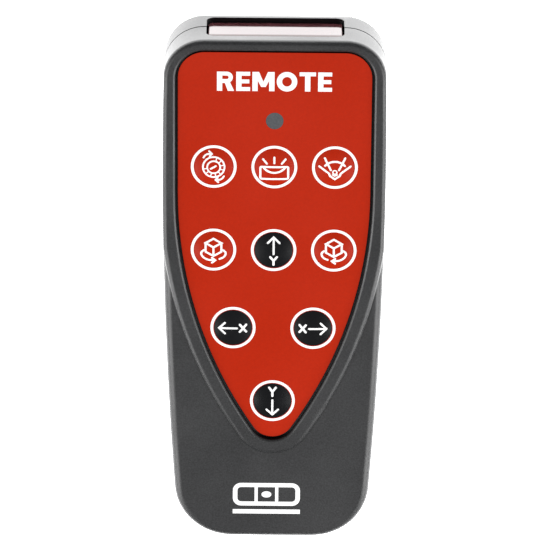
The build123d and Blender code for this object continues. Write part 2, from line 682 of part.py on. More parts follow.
def coil(x, foot_y, direction):
    """A battery spring that stands on a contact plate and reaches along direction on Y."""
    pitch = (SPRING_LENGTH - 2 * SPRING_WIRE_R - 2 * FIT) / SPRING_TURNS
    start_y = foot_y + direction * (SPRING_WIRE_R + FIT)
    path = Helix(
        pitch, pitch * SPRING_TURNS, SPRING_R, center=(x, start_y, CELL_Z), direction=(0, direction, 0)
    )
    with BuildSketch(Plane(origin=path @ 0, z_dir=path % 0)) as wire:
        Circle(SPRING_WIRE_R)
    sweep(wire.sketch, path=path, is_frenet=True)


with BuildPart() as battery_springs:
    coil(-CELL_X, low_plate_y, 1)
    coil(CELL_X, high_plate_y, -1)
battery_springs.part.label = "battery_springs"
export_step(battery_springs.part, "parts/battery_springs.step")

plate_low_z = CELL_Z - PLATE_HEIGHT / 2
plate_high_z = CELL_Z + PLATE_HEIGHT / 2
with BuildPart() as link_contact:
    edge_x = CELL_X + PLATE_WIDTH / 2
    block((-edge_x, edge_x), (low_plate_y - PLATE_T, low_plate_y), (plate_low_z, plate_high_z))
    with Locations(Location((CELL_X, low_plate_y - PLATE_T, CELL_Z), (-90, 0, 0))):
        Cylinder(BUMP_R, PLATE_T + BUMP_H, align=(Align.CENTER, Align.CENTER, Align.MIN))
link_contact.part.label = "link_contact"
export_step(link_contact.part, "parts/link_contact.step")

with BuildPart() as contact_positive:
    block(
        (-CELL_X - PLATE_WIDTH / 2, -CELL_X + PLATE_WIDTH / 2),
        (high_plate_y, high_plate_y + PLATE_T),
        (plate_low_z, plate_high_z),
    )
    block(
        (-TAB_X - TAB_WIDTH / 2, -TAB_X + TAB_WIDTH / 2),
        (high_plate_y, high_plate_y + PLATE_T),
        (CELL_Z, TAB_TOP_Z),
    )
    with Locations(Location((-CELL_X, high_plate_y + PLATE_T, CELL_Z), (90, 0, 0))):
        Cylinder(BUMP_R, PLATE_T + BUMP_H, align=(Align.CENTER, Align.CENTER, Align.MIN))
contact_positive.part.label = "contact_positive"
export_step(contact_positive.part, "parts/contact_positive.step")

with BuildPart() as contact_negative:
    block(
        (CELL_X - PLATE_WIDTH / 2, CELL_X + PLATE_WIDTH / 2),
        (high_plate_y, high_plate_y + PLATE_T),
        (plate_low_z, plate_high_z),
    )
    block(
        (TAB_X - TAB_WIDTH / 2, TAB_X + TAB_WIDTH / 2),
        (high_plate_y, high_plate_y + PLATE_T),
        (CELL_Z, TAB_TOP_Z),
    )
contact_negative.part.label = "contact_negative"
export_step(contact_negative.part, "parts/contact_negative.step")


# ---- screws ----------------------------------------------------------------------------------
def screw(x, y, shank_r, head_r, head_low_z, head_high_z, top_z):
    """A pan-head screw, point upwards, with a cross recess in its head."""
    post(x, y, head_r, head_low_z, head_high_z)
    post(x, y, shank_r, head_low_z, top_z)
    with Locations((x, y, head_low_z + RECESS_DEPTH / 2)):
        Box(RECESS_ARM, RECESS_WIDTH, RECESS_DEPTH, mode=Mode.SUBTRACT)
        Box(RECESS_WIDTH, RECESS_ARM, RECESS_DEPTH, mode=Mode.SUBTRACT)


with BuildPart() as case_screws:
    seat_z = SCREW_WELL_Z - FIT
    for x, y in CASE_BOSSES:
        screw(x, y, CASE_SCREW_R, CASE_HEAD_R, seat_z - CASE_HEAD_H, seat_z, CASE_SCREW_TOP_Z)
case_screws.part.label = "case_screws"
export_step(case_screws.part, "parts/case_screws.step")

with BuildPart() as board_screws:
    seat_z = BOARD_LOW_Z - FIT
    for x, y in BOARD_BOSSES:
        screw(x, y, BOARD_SCREW_R, BOARD_HEAD_R, seat_z - BOARD_HEAD_H, seat_z, BOARD_SCREW_TOP_Z)
board_screws.part.label = "board_screws"
export_step(board_screws.part, "parts/board_screws.step")
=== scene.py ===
import json
import math

import bmesh
import bpy
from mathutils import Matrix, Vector


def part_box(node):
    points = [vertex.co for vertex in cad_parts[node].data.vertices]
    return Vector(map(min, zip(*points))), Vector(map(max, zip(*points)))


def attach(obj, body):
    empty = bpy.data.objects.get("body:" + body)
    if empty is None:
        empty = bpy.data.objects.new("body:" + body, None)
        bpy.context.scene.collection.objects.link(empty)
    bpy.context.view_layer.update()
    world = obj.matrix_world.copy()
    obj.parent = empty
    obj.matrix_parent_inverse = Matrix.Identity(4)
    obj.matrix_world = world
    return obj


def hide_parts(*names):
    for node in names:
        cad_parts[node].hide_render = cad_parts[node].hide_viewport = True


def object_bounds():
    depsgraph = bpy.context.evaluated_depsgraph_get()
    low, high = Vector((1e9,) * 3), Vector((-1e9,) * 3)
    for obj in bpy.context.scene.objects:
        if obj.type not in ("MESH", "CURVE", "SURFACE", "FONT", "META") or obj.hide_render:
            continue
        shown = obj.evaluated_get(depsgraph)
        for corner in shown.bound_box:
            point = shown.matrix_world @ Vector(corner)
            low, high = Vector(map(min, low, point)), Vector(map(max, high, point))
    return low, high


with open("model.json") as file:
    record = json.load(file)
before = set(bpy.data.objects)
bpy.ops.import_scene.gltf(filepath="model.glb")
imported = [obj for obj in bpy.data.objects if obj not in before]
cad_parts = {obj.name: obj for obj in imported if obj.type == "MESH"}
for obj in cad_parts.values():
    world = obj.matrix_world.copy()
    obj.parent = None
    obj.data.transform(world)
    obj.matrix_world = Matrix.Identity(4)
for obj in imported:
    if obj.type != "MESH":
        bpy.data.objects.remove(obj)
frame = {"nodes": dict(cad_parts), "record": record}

CAD_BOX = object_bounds()
MM = 0.001


# ---------------------------------------------------------------- materials
NOISE_RANGE = (0.3, 0.7)  # the part of the noise's values that is spread over a whole ramp
SMOOTHEST = 0.02  # least roughness


def surface(name, color, rough, grain=3000.0, spread=0.12, rough_spread=0.06, bump=0.01,
            bump_strength=0.35, metallic=0.0, blotch=60.0, blotch_spread=0.08, transmission=0.0,
            specular=0.5, tint=(1.0, 1.0, 1.0)):
    """A principled surface with fine grain, slow blotches, uneven gloss and a small bump.

    grain and blotch are noise scales per metre, and bump is a height in mm."""
    mat = bpy.data.materials.new(name)
    mat.use_nodes = True
    tree = mat.node_tree
    nodes, links = tree.nodes, tree.links
    shader = nodes["Principled BSDF"]
    shader.inputs["Metallic"].default_value = metallic
    shader.inputs["Specular IOR Level"].default_value = specular
    shader.inputs["Specular Tint"].default_value = (*tint, 1)
    shader.inputs["Transmission Weight"].default_value = transmission
    coords = nodes.new("ShaderNodeTexCoord")

    fine = nodes.new("ShaderNodeTexNoise")
    fine.inputs["Scale"].default_value = grain
    fine.inputs["Detail"].default_value = 2.5
    fine.inputs["Roughness"].default_value = 0.6
    links.new(coords.outputs["Object"], fine.inputs["Vector"])
    slow = nodes.new("ShaderNodeTexNoise")
    slow.inputs["Scale"].default_value = blotch
    slow.inputs["Detail"].default_value = 3.0
    links.new(coords.outputs["Object"], slow.inputs["Vector"])

    def ramp(noise, low, high):
        node = nodes.new("ShaderNodeValToRGB")
        for element, position, tone in zip(node.color_ramp.elements, NOISE_RANGE, (low, high)):
            element.position = position
            element.color = (*tone, 1)
        links.new(noise.outputs["Fac"], node.inputs["Fac"])
        return node

    dark = [c * (1 - spread) for c in color]
    light = [min(1.0, c * (1 + spread)) for c in color]
    base = ramp(fine, dark, light)
    shade = ramp(slow, [1 - blotch_spread] * 3, [1.0] * 3)
    mix = nodes.new("ShaderNodeMix")
    mix.data_type = "RGBA"
    mix.blend_type = "MULTIPLY"
    mix.inputs["Factor"].default_value = 1.0
    links.new(base.outputs["Color"], mix.inputs["A"])
    links.new(shade.outputs["Color"], mix.inputs["B"])
    links.new(mix.outputs["Result"], shader.inputs["Base Color"])

    gloss = nodes.new("ShaderNodeMapRange")
    gloss.inputs["From Min"].default_value, gloss.inputs["From Max"].default_value = NOISE_RANGE
    gloss.inputs["To Min"].default_value = max(SMOOTHEST, rough - rough_spread)
    gloss.inputs["To Max"].default_value = min(1.0, rough + rough_spread)
    links.new(slow.outputs["Fac"], gloss.inputs["Value"])
    links.new(gloss.outputs["Result"], shader.inputs["Roughness"])

    relief = nodes.new("ShaderNodeBump")
    relief.inputs["Strength"].default_value = bump_strength
    relief.inputs["Distance"].default_value = bump * MM
    links.new(fine.outputs["Fac"], relief.inputs["Height"])
    links.new(relief.outputs["Normal"], shader.inputs["Normal"])
    return mat


RED = (0.378, 0.0150, 0.0015)
LOOKS = {
    "casing": surface("casing_plastic", (0.0150, 0.0153, 0.0164), 0.42, grain=2600, spread=0.60,
                      bump=0.03, bump_strength=0.5, blotch=45),
    "panel_red": surface("panel_film", RED, 0.36, grain=1800, spread=0.05, bump=0.004,
                         bump_strength=0.3, blotch=30, blotch_spread=0.06, specular=0.12),
    "key_red": surface("key_film_red", RED, 0.34, grain=1800, spread=0.05, bump=0.004,
                       bump_strength=0.3, blotch=90, blotch_spread=0.05, specular=0.12),
    "key_black": surface("key_film_black", (0.0058, 0.0060, 0.0070), 0.30, grain=1800, spread=0.12,
                         bump=0.004, bump_strength=0.3, blotch=90, specular=0.12),
    "window": surface("window_plastic", (0.036, 0.011, 0.013), 0.08, grain=900, spread=0.2,
                      bump=0.002, bump_strength=0.2, rough_spread=0.03, specular=0.25,
                      tint=(1.0, 0.965, 0.935)),
    "status_grey": surface("status_window_film", (0.078, 0.082, 0.088), 0.35, grain=2200,
                           spread=0.14, bump=0.004, specular=0.15),
    "clear_plastic": surface("clear_plastic", (0.75, 0.77, 0.78), 0.15, spread=0.04,
                             transmission=0.7),
    "board": surface("solder_mask", (0.010, 0.09, 0.025), 0.3, grain=1500, spread=0.25),
    "component_black": surface("epoxy_black", (0.015, 0.015, 0.016), 0.45, spread=0.25),
    "switch_black": surface("switch_moulding", (0.022, 0.022, 0.024), 0.5, spread=0.2),
    "plunger": surface("plunger_moulding", (0.04, 0.04, 0.042), 0.45, spread=0.2),
    "tinned": surface("tinned_metal", (0.62, 0.62, 0.60), 0.3, metallic=1.0, spread=0.1),
    "plated": surface("nickel_plate", (0.66, 0.65, 0.61), 0.22, metallic=1.0, spread=0.07),
    "can": surface("drawn_can", (0.66, 0.67, 0.68), 0.25, metallic=1.0, spread=0.07),
    "sleeve": surface("cell_sleeve", (0.02, 0.022, 0.028), 0.22, spread=0.2),
    "spring_steel": surface("spring_wire", (0.58, 0.58, 0.56), 0.25, metallic=1.0, spread=0.1),
    "screw_steel": surface("zinc_screw", (0.38, 0.38, 0.38), 0.33, metallic=1.0, spread=0.15),
    "emitter": surface("emitter_epoxy", (0.05, 0.06, 0.12), 0.08, spread=0.1, transmission=0.4),
}
INK = surface("white_ink", (0.86, 0.86, 0.86), 0.42, grain=2500, spread=0.03, bump=0.003,
              blotch=120, blotch_spread=0.03)

slots = {s["node"]: s["material_slot"] for s in frame["record"]["subparts"]}
for name, node in frame["nodes"].items():
    for slot in node.material_slots:
        slot.link = "OBJECT"
        slot.material = LOOKS[slots[name]]


# ---------------------------------------------------------------- mesh helpers
INK_T = 0.02  # thickness of the print
SINK = 0.01  # how far the print reaches into the surface below it
LAYER = 0.0008  # height between overlapping strokes of one symbol
STEP = 0.5  # longest straight run in a stroke, so that it follows a curved key
CAP_STEPS = 8  # parts of the half circle at a stroke's end
MITRE = 0.5  # least cosine at a bend, so that a sharp one doesn't grow a spike


def piece(name, mesh, body, look, smooth=False):
    """Puts a finished mesh in the scene, riding on a CAD body."""
    obj = bpy.data.objects.new(name, mesh)
    bpy.context.scene.collection.objects.link(obj)
    mesh.materials.append(look)
    mesh.shade_smooth() if smooth else mesh.shade_flat()
    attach(obj, body)
    return obj


def film(shapes, height):
    """A thin closed film for each flat shape: (points, faces, border loops), in mm.

    height(x, y) gives the surface it lies on."""
    bm = bmesh.new()
    for number, (points, faces, loops) in enumerate(shapes):
        lift = INK_T + LAYER * number
        top = [bm.verts.new((x * MM, y * MM, (height(x, y) + lift) * MM)) for x, y in points]
        low = [bm.verts.new((x * MM, y * MM, (height(x, y) - SINK) * MM)) for x, y in points]
        for face in faces:
            bm.faces.new([top[i] for i in face])
            bm.faces.new([low[i] for i in reversed(face)])
        for loop in loops:
            for a, b in zip(loop, loop[1:] + loop[:1]):
                bm.faces.new((top[b], top[a], low[a], low[b]))
    bmesh.ops.recalc_face_normals(bm, faces=bm.faces)
    mesh = bpy.data.meshes.new("film")
    bm.to_mesh(mesh)
    bm.free()
    return mesh


def polygon(points):
    """A filled convex outline."""
    return points, [tuple(range(len(points)))], [list(range(len(points)))]


def bar(x0, y0, x1, y1):
    """A filled upright rectangle."""
    return polygon([(x0, y0), (x1, y0), (x1, y1), (x0, y1)])


def divided(path):
    """The path with every run cut to at most STEP."""
    dense = [path[0]]
    for a, b in zip(path, path[1:]):
        steps = max(1, math.ceil(math.dist(a, b) / STEP))
        for k in range(1, steps + 1):
            dense.append((a[0] + (b[0] - a[0]) * k / steps, a[1] + (b[1] - a[1]) * k / steps))
    return dense


def sides(dense, half, closed):
    """Points to the left and to the right of each point of a path."""
    left, right = [], []
    count = len(dense)
    for i, p in enumerate(dense):
        before = dense[(i - 1) % count] if closed else dense[max(0, i - 1)]
        after = dense[(i + 1) % count] if closed else dense[min(count - 1, i + 1)]
        into = Vector((p[0] - before[0], p[1] - before[1]))
        out = Vector((after[0] - p[0], after[1] - p[1]))
        into = (into if into.length > 0 else out).normalized()
        out = (out if out.length > 0 else into).normalized()
        middle = (into + out).normalized()
        normal = Vector((-middle.y, middle.x))
        reach = half / max(MITRE, normal.dot(Vector((-into.y, into.x))))
        left.append((p[0] + normal.x * reach, p[1] + normal.y * reach))
        right.append((p[0] - normal.x * reach, p[1] - normal.y * reach))
    return left, right


def cap(centre, towards, half):
    """Points round the end of a stroke."""
    turn = math.atan2(towards[1], towards[0]) + math.pi / 2
    return [(centre[0] + half * math.cos(turn - math.pi * k / CAP_STEPS),
             centre[1] + half * math.sin(turn - math.pi * k / CAP_STEPS))
            for k in range(1, CAP_STEPS)]


def stroke(path, width):
    """A line of one width with round ends; a path that ends where it starts is closed."""
    half = width / 2
    dense = divided(path)
    if math.dist(path[0], path[-1]) < 1e-6:
        left, right = sides(dense[:-1], half, True)
        n = len(left)
        faces = [(i, n + i, n + (i + 1) % n, (i + 1) % n) for i in range(n)]
        return left + right, faces, [list(range(n)), list(range(2 * n - 1, n - 1, -1))]
    left, right = sides(dense, half, False)
    n = len(left)
    ahead = (dense[-1][0] - dense[-2][0], dense[-1][1] - dense[-2][1])
    behind = (dense[0][0] - dense[1][0], dense[0][1] - dense[1][1])
    front, back = cap(dense[-1], ahead, half), cap(dense[0], behind, half)
    front_ids = list(range(2 * n, 2 * n + len(front)))
    back_ids = list(range(front_ids[-1] + 1, front_ids[-1] + 1 + len(back)))
    faces = [(i, n + i, n + i + 1, i + 1) for i in range(n - 1)]
    faces.append(tuple([n - 1] + front_ids + [2 * n - 1])[::-1])
    faces.append(tuple([n] + back_ids + [0])[::-1])
    loop = list(range(n)) + front_ids + list(range(2 * n - 1, n - 1, -1)) + back_ids
    return left + right + front + back, faces, [loop]


def arc(centre, radius, start=0.0, end=360.0, stretch=1.0, turn_step=9):
    """Points along a circle, stretched along Y; a full turn ends exactly where it starts."""
    steps = max(4, math.ceil(abs(end - start) / turn_step))
    angles = [math.radians(start + (end - start) * k / steps) for k in range(steps + 1)]
    points = [(centre[0] + radius * math.cos(angle), centre[1] + stretch * radius * math.sin(angle))
              for angle in angles]
    if end - start == 360.0:
        points[-1] = points[0]
    return points


def smooth(points, steps=5):
    """A rounded path through the points, as a Catmull-Rom curve."""
    ends = [points[0]] + points + [points[-1]]
    path = [points[0]]
    for a, b, c, d in zip(ends, ends[1:], ends[2:], ends[3:]):
        for k in range(1, steps + 1):
            t = k / steps
            path.append(tuple(
                0.5 * (2 * b[i] + (c[i] - a[i]) * t
                       + (2 * a[i] - 5 * b[i] + 4 * c[i] - d[i]) * t * t
                       + (3 * b[i] - a[i] - 3 * c[i] + d[i]) * t ** 3) for i in (0, 1)))
    return path


def rounded_box(half_width, half_height, corner, centre=(0, 0)):
    """A closed path round a box with rounded corners."""
    points = []
    for sx, sy, start in ((1, 1, 0), (-1, 1, 90), (-1, -1, 180), (1, -1, 270)):
        middle = (centre[0] + sx * (half_width - corner),
                  centre[1] + sy * (half_height - corner))
        points += arc(middle, corner, start, start + 90, turn_step=15)
    return points + points[:1]


def ring_film(centre, inner, outer, height, steps=96):
    """A flat printed ring, as a closed thin film."""
    circles = [[(centre[0] + radius * math.cos(2 * math.pi * k / steps),
                 centre[1] + radius * math.sin(2 * math.pi * k / steps)) for k in range(steps)]
               for radius in (inner, outer)]
    faces = [(k, (k + 1) % steps, steps + (k + 1) % steps, steps + k) for k in range(steps)]
    loops = [list(range(steps)), list(range(steps, 2 * steps))]
    return film([(circles[0] + circles[1], faces, loops)], height)


def centre_of(node):
    """The middle of a node's box, in mm."""
    low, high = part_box(node)
    return (low + high) / 2 / MM


panel_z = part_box("face_panel")[1].z / MM
KEY_NAMES = [n for n in frame["nodes"] if n.startswith("key_")]
KEY_RADIUS = (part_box("key_light")[1].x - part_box("key_light")[0].x) / 2 / MM
KEY_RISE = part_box("key_light")[1].z / MM - panel_z
DOME_R = (KEY_RADIUS ** 2 + KEY_RISE ** 2) / (2 * KEY_RISE)


def dome_height(cx, cy):
    """The height of a key's domed top, as a function of the place on it."""
    def height(x, y):
        square = (x - cx) ** 2 + (y - cy) ** 2
        return panel_z + KEY_RISE - DOME_R + math.sqrt(max(0.0, DOME_R ** 2 - square))
    return height


# ---------------------------------------------------------------- casing skins with finer sides
SIDE_ARC = ((27.0, 67.4), (27.5, 22.0), (23.55, -67.0))  # points of the side's large arc
# radius, height where the round leaves the upright wall, and whether it goes up or down
ROUNDS = ((2.0, 20.0, 1), (1.2, 21.8, 1), (6.0, 6.0, -1))
WALL = -1  # number of the upright wall, where the rounds are numbered from 0
LONG_RUN = 0.8  # edges on the sides longer than this are divided
SPLITS = 6  # parts of a divided edge
ON_SKIN = 0.03  # how far off a surface a point may be and still count as on it
GENTLE = math.cos(math.radians(35))  # faces that meet at less than this angle look smooth
LEVEL = 0.9999  # upward part of a level face's normal
LIP_R = 0.3  # how far the pocket's round reaches along the bezel's top and down the chamfer
LIP_STEPS = 3
CHAMFER = math.sqrt(0.5)  # upward part of the normal of the chamfer round the pocket
CHAMFER_SPREAD = 0.03
NEAR = 0.01


def circle_through(a, b, c):
    """Centre and radius of the circle through three points."""
    area = 2 * (a[0] * (b[1] - c[1]) + b[0] * (c[1] - a[1]) + c[0] * (a[1] - b[1]))
    squares = [p[0] ** 2 + p[1] ** 2 for p in (a, b, c)]
    x = (squares[0] * (b[1] - c[1]) + squares[1] * (c[1] - a[1])
         + squares[2] * (a[1] - b[1])) / area
    y = (squares[0] * (c[0] - b[0]) + squares[1] * (a[0] - c[0])
         + squares[2] * (b[0] - a[0])) / area
    return (x, y), math.dist((x, y), a)


SIDE_CENTRE, SIDE_R = circle_through(*SIDE_ARC)


def side_radius(p):
    """Distance of a point from the centre of its own side's arc."""
    return math.dist((abs(p.x), p.y), SIDE_CENTRE)


def surfaces(p):
    """The side's surfaces a point lies on, with its angle round each of them."""
    depth = SIDE_R - side_radius(p)
    found = {WALL: 0.0} if abs(depth) < ON_SKIN else {}
    for number, (radius, start, way) in enumerate(ROUNDS):
        rise = way * (p.z - start) / radius
        if -0.001 < rise < 1.001:
            angle = math.asin(min(1.0, max(0.0, rise)))
            if abs(depth - radius * (1 - math.cos(angle))) < ON_SKIN:
                found[number] = angle
    return found


def outward(p, surface_number, angle):
    """The surface's own normal at a point."""
    across = math.copysign(abs(p.x) - SIDE_CENTRE[0], p.x)
    flat = Vector((across, p.y - SIDE_CENTRE[1], 0)) / side_radius(p)
    if surface_number == WALL:
        return flat
    return flat * math.cos(angle) + Vector((0, 0, ROUNDS[surface_number][2] * math.sin(angle)))


def on_surface(points, weights, number, angles):
    """The weighted middle of some points, on their surface instead of its chord."""
    turn = sum(w * math.atan2(p.y - SIDE_CENTRE[1], abs(p.x) - SIDE_CENTRE[0])
               for p, w in zip(points, weights))
    reach, z = SIDE_R, sum(w * p.z for p, w in zip(points, weights))
    if number != WALL:
        radius, start, way = ROUNDS[number]
        angle = sum(w * a for a, w in zip(angles, weights))
        reach -= radius * (1 - math.cos(angle))
        z = start + way * radius * math.sin(angle)
    x = SIDE_CENTRE[0] + reach * math.cos(turn)
    return Vector((math.copysign(x, points[0].x), SIDE_CENTRE[1] + reach * math.sin(turn), z))


def shared(spots):
    """The surface that all the points lie on: a round before the wall."""
    common = set(spots[0]).intersection(*spots[1:])
    return max(common) if common else None


def set_normals(mesh, spots):
    """Own normals on the sides; elsewhere smooth where faces meet gently, larger faces first."""
    around = [[] for _ in mesh.vertices]
    for face in mesh.polygons:
        for i in face.vertices:
            around[i].append((face.normal.copy(), face.area))
    normals = []
    for face in mesh.polygons:
        number = shared([spots[i] for i in face.vertices])
        for i in face.vertices:
            normal = Vector()
            if number is not None:
                normal = outward(mesh.vertices[i].co / MM, number, spots[i][number])
            if normal.dot(face.normal) < GENTLE:
                normal = Vector()
                for other, area in around[i]:
                    if other.dot(face.normal) > GENTLE:
                        normal += other * area
            normals.append(normal.normalized() if normal.length > 0 else face.normal.copy())
    mesh.normals_split_custom_set(normals)


def round_lip(mesh):
    """Rounds the corner between the bezel's top and the chamfer round the panel's pocket."""
    bm = bmesh.new()
    bm.from_mesh(mesh)
    bm.normal_update()
    lip = []
    for edge in bm.edges:
        on_top = all(abs(v.co.z - CAD_BOX[1][2]) < NEAR * MM for v in edge.verts)
        if on_top and len(edge.link_faces) == 2:
            slope, top = sorted(face.normal.z for face in edge.link_faces)
            if abs(slope - CHAMFER) < CHAMFER_SPREAD and top > 1 - NEAR:
                lip.append(edge)
    bmesh.ops.bevel(bm, geom=lip, offset=LIP_R * MM, offset_type="OFFSET", segments=LIP_STEPS,
                    profile=0.5, affect="EDGES", clamp_overlap=False)
    bm.to_mesh(mesh)
    bm.free()


def fine_sided(node):
    """The node's surface with the faces on its sides divided to follow their curves."""
    source = frame["nodes"][node].data
    index, points, merged = {}, [], []
    for v in source.vertices:
        p = v.co / MM
        key = tuple(round(c, 4) for c in p)
        if key not in index:
            index[key] = len(points)
            points.append(p)
        merged.append(index[key])
    spots = [surfaces(p) for p in points]
    bent = set()
    for face in source.polygons:
        if abs(face.normal.z) < LEVEL:
            ids = [merged[i] for i in face.vertices]
            bent.update(frozenset(pair) for pair in zip(ids, ids[1:] + ids[:1]))
    runs = {}

    def added(ids, weights, number):
        """Index of a new point between the given ones."""
        angles = [spots[i][number] for i in ids]
        points.append(on_surface([points[i] for i in ids], weights, number, angles))
        spots.append(surfaces(points[-1]))
        return len(points) - 1

    def run(a, b):
        """Indices from one corner to another, by way of the points that divide their edge."""
        low, high = min(a, b), max(a, b)
        if (low, high) not in runs:
            p, q = points[low], points[high]
            number = shared([spots[low], spots[high]])
            divide = (number is not None and p.x * q.x > 0 and (p - q).length > LONG_RUN
                      and frozenset((a, b)) in bent)
            inner = [added((low, high), (1 - k / SPLITS, k / SPLITS), number)
                     for k in range(1, SPLITS)] if divide else []
            runs[low, high] = [low] + inner + [high]
        return runs[low, high] if a == low else runs[low, high][::-1]

    faces = []
    for face in source.polygons:
        ids = [merged[i] for i in face.vertices]
        if len(set(ids)) < len(ids):
            continue
        edges = [run(a, b) for a, b in zip(ids, ids[1:] + ids[:1])]
        split = [k for k in range(3) if len(edges[k]) > 2]
        number = shared([spots[i] for i in ids])
        if len(split) == 3 and number is not None:
            rows = [[ids[0]]]
            for i in range(1, SPLITS):
                weights = [(1 - i / SPLITS, (i - j) / SPLITS, j / SPLITS) for j in range(1, i)]
                inner = [added(ids, w, number) for w in weights]
                rows.append([edges[0][i]] + inner + [edges[2][-1 - i]])
            rows.append(edges[1])
            for above, below in zip(rows, rows[1:]):
                faces += [(above[j], below[j], below[j + 1]) for j in range(len(above))]
                faces += [(above[j], below[j + 1], above[j + 1]) for j in range(len(above) - 1)]
        elif len(split) == 1:
            chain, tip = edges[split[0]], edges[(split[0] + 1) % 3][-1]
            faces += [(a, b, tip) for a, b in zip(chain, chain[1:])]
        elif len(split) == 2:
            into, out = (edges[k] for k in ((2, 0) if split == [0, 2] else split))
            near = into[::-1]  # near and out both start at the corner they share
            faces.append((near[1], near[0], out[1]))
            faces += [(near[k + 1], near[k], out[k], out[k + 1]) for k in range(1, SPLITS)]
        else:
            faces.append(tuple(i for chain in edges for i in chain[:-1]))
    mesh = bpy.data.meshes.new(node + "_skin")
    mesh.from_pydata([p * MM for p in points], [], faces)
    if node == "front_shell":
        round_lip(mesh)
        spots = [surfaces(v.co / MM) for v in mesh.vertices]
    mesh.shade_smooth()
    set_normals(mesh, spots)
    return mesh


for node, body in (("front_shell", "casing"), ("back_shell", "casing"),
                   ("battery_door", "battery_door")):
    skin = piece(node + "_skin", fine_sided(node), body, LOOKS["casing"], smooth=True)
    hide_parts(node)

# ---------------------------------------------------------------- printed symbols
# Each symbol is a list of lines, (path, width), in mm from the middle of its key.
LINE = 0.5
HEAVY = 0.56
RING_INNER_R, RING_OUTER_R = 4.93, 5.61


def flipped(path, side):
    """The path itself when side is 1, its mirror image when side is -1."""
    return [(side * x, y) for x, y in path]


def speed_symbol():
    """A dial with a pointer between two turning arrows."""
    lines = [(arc((0, 0), 2.65), 0.42), (arc((0, 0), 1.6), 0.4),
             ([(-0.72, -0.4), (0.52, 0.3)], 0.46)]
    for k in range(9):
        angle = math.radians(72 - 30 * k)
        tick = [(r * math.cos(angle), r * math.sin(angle)) for r in (1.75, 2.5)]
        lines.append((tick, 0.26))
    shaft = smooth([(-2.5, 2.45), (-2.1, 3.05), (-1.5, 3.38), (-0.85, 3.45)])
    head = [(-1.15, 4.1), (-0.45, 3.42), (-0.98, 2.85)]
    for turn in (1, -1):
        for path in (shaft, head):
            lines.append(([(turn * x, turn * y) for x, y in path], 0.44))
    return lines


def light_symbol():
    """A lamp housing with three rays above it."""
    lines = [(rounded_box(3.42, 1.62, 0.35, (0, -1.45)), LINE),
             (arc((0, 1.95), 3.3, 214, 326), LINE), ([(0, 1.2), (0, 2.65)], LINE)]
    for side in (-1, 1):
        lines.append((flipped([(1.85, 1.05), (2.75, 2.15)], side), LINE))
    return lines


def scan_symbol():
    """A lamp that sweeps a fan of rays."""
    thin = 0.32
    lines = [([(-1.4, -1.55), (-1.15, -2.15), (0, -2.95), (1.15, -2.15), (1.4, -1.55)], LINE),
             (arc((0, -1.5), 3.2, 139, 41), LINE), (arc((0, -1.1), 0.5), thin),
             ([(-0.62, -1.75), (0, -2.1), (0.62, -1.75)], thin)]
    for side in (-1, 1):
        lines.append((flipped([(1.4, -1.45), (3.85, 0.4)], side), LINE))
        lines.append((flipped([(1.0, -0.5), (2.5, 2.55)], side), LINE))
    return lines


def turn_symbol(side):
    """A cube over a bent arrow; side is 1 when the arrow ends on the right."""
    lines = [([(-1.95, 1.9), (0, 3.05), (1.95, 1.9), (0, 0.8), (-1.95, 1.9)], LINE),
             ([(-1.95, 1.9), (-1.95, -0.4), (0, -1.5), (1.95, -0.4), (1.95, 1.9)], LINE),
             ([(0, 0.8), (0, -1.5)], LINE)]
    loop = smooth([(-2.4, 0.0), (-2.95, -0.55), (-2.95, -1.3), (-2.3, -2.1), (-1.2, -2.6),
                   (0.2, -2.72)])
    tail = smooth([(2.4, 0.0), (2.95, -0.55), (2.95, -1.25), (2.4, -1.95), (1.5, -2.35)])
    head = [(-0.35, -2.05), (0.45, -2.72), (-0.35, -3.4)]
    return lines + [(flipped(path, side), LINE) for path in (loop, tail, head)]


def axis_symbol(letter, angle, tip, tail, letter_at):
    """An arrow from tail to tip along angle, with its axis letter behind it."""
    c, s = math.cos(math.radians(angle)), math.sin(math.radians(angle))

    def at(along, across):
        return (along * c - across * s, along * s + across * c)

    barb = 1.45
    lines = [([at(tail, 0), at(tip, 0)], LINE),
             ([at(tip - barb, barb), at(tip, 0), at(tip - barb, -barb)], LINE)]
    x, y = at(letter_at, 0)
    if letter == "Y":
        strokes = [[(-0.82, 1.05), (0, 0), (0, -1.1)], [(0.82, 1.05), (0, 0)]]
    else:
        strokes = [[(-0.78, 0.95), (0.78, -0.95)], [(-0.78, -0.95), (0.78, 0.95)]]
    return lines + [([(x + dx, y + dy) for dx, dy in path], HEAVY) for path in strokes]


SYMBOLS = {
    "key_speed": speed_symbol(),
    "key_light": light_symbol(),
    "key_scan": scan_symbol(),
    "key_turn_left": turn_symbol(1),
    "key_turn_right": turn_symbol(-1),
    "key_y_up": axis_symbol("Y", 90, 3.5, -0.9, -2.75),
    "key_y_down": axis_symbol("Y", -90, 3.72, -0.35, -2.62),
    "key_x_left": axis_symbol("X", 180, 3.45, -0.98, -2.5),
    "key_x_right": axis_symbol("X", 0, 3.35, -0.98, -2.56),
}


def moved(shapes, dx, dy):
    """The same flat shapes in another place."""
    return [([(x + dx, y + dy) for x, y in points], faces, loops)
            for points, faces, loops in shapes]


for key in KEY_NAMES:
    mid = centre_of(key)
    name = key.removeprefix("key_")
    shapes = moved([stroke(path, width) for path, width in SYMBOLS[key]], mid.x, mid.y)
    piece("symbol_" + name, film(shapes, dome_height(mid.x, mid.y)), key, INK)
    ring = ring_film((mid.x, mid.y), RING_INNER_R, RING_OUTER_R, lambda x, y: panel_z)
    piece("ring_" + name, ring, "casing", INK)


# ---------------------------------------------------------------- the word and the mark below
face_y = centre_of("key_light").y - 29.25  # middle of the key face
CAP_H = 5.0
STEM = 1.3  # width of a letter's uprights
ARM = 1.02  # width of its level strokes
LETTER_GAP = 0.54
WORD_X, WORD_Y = -14.15, face_y + 49.2


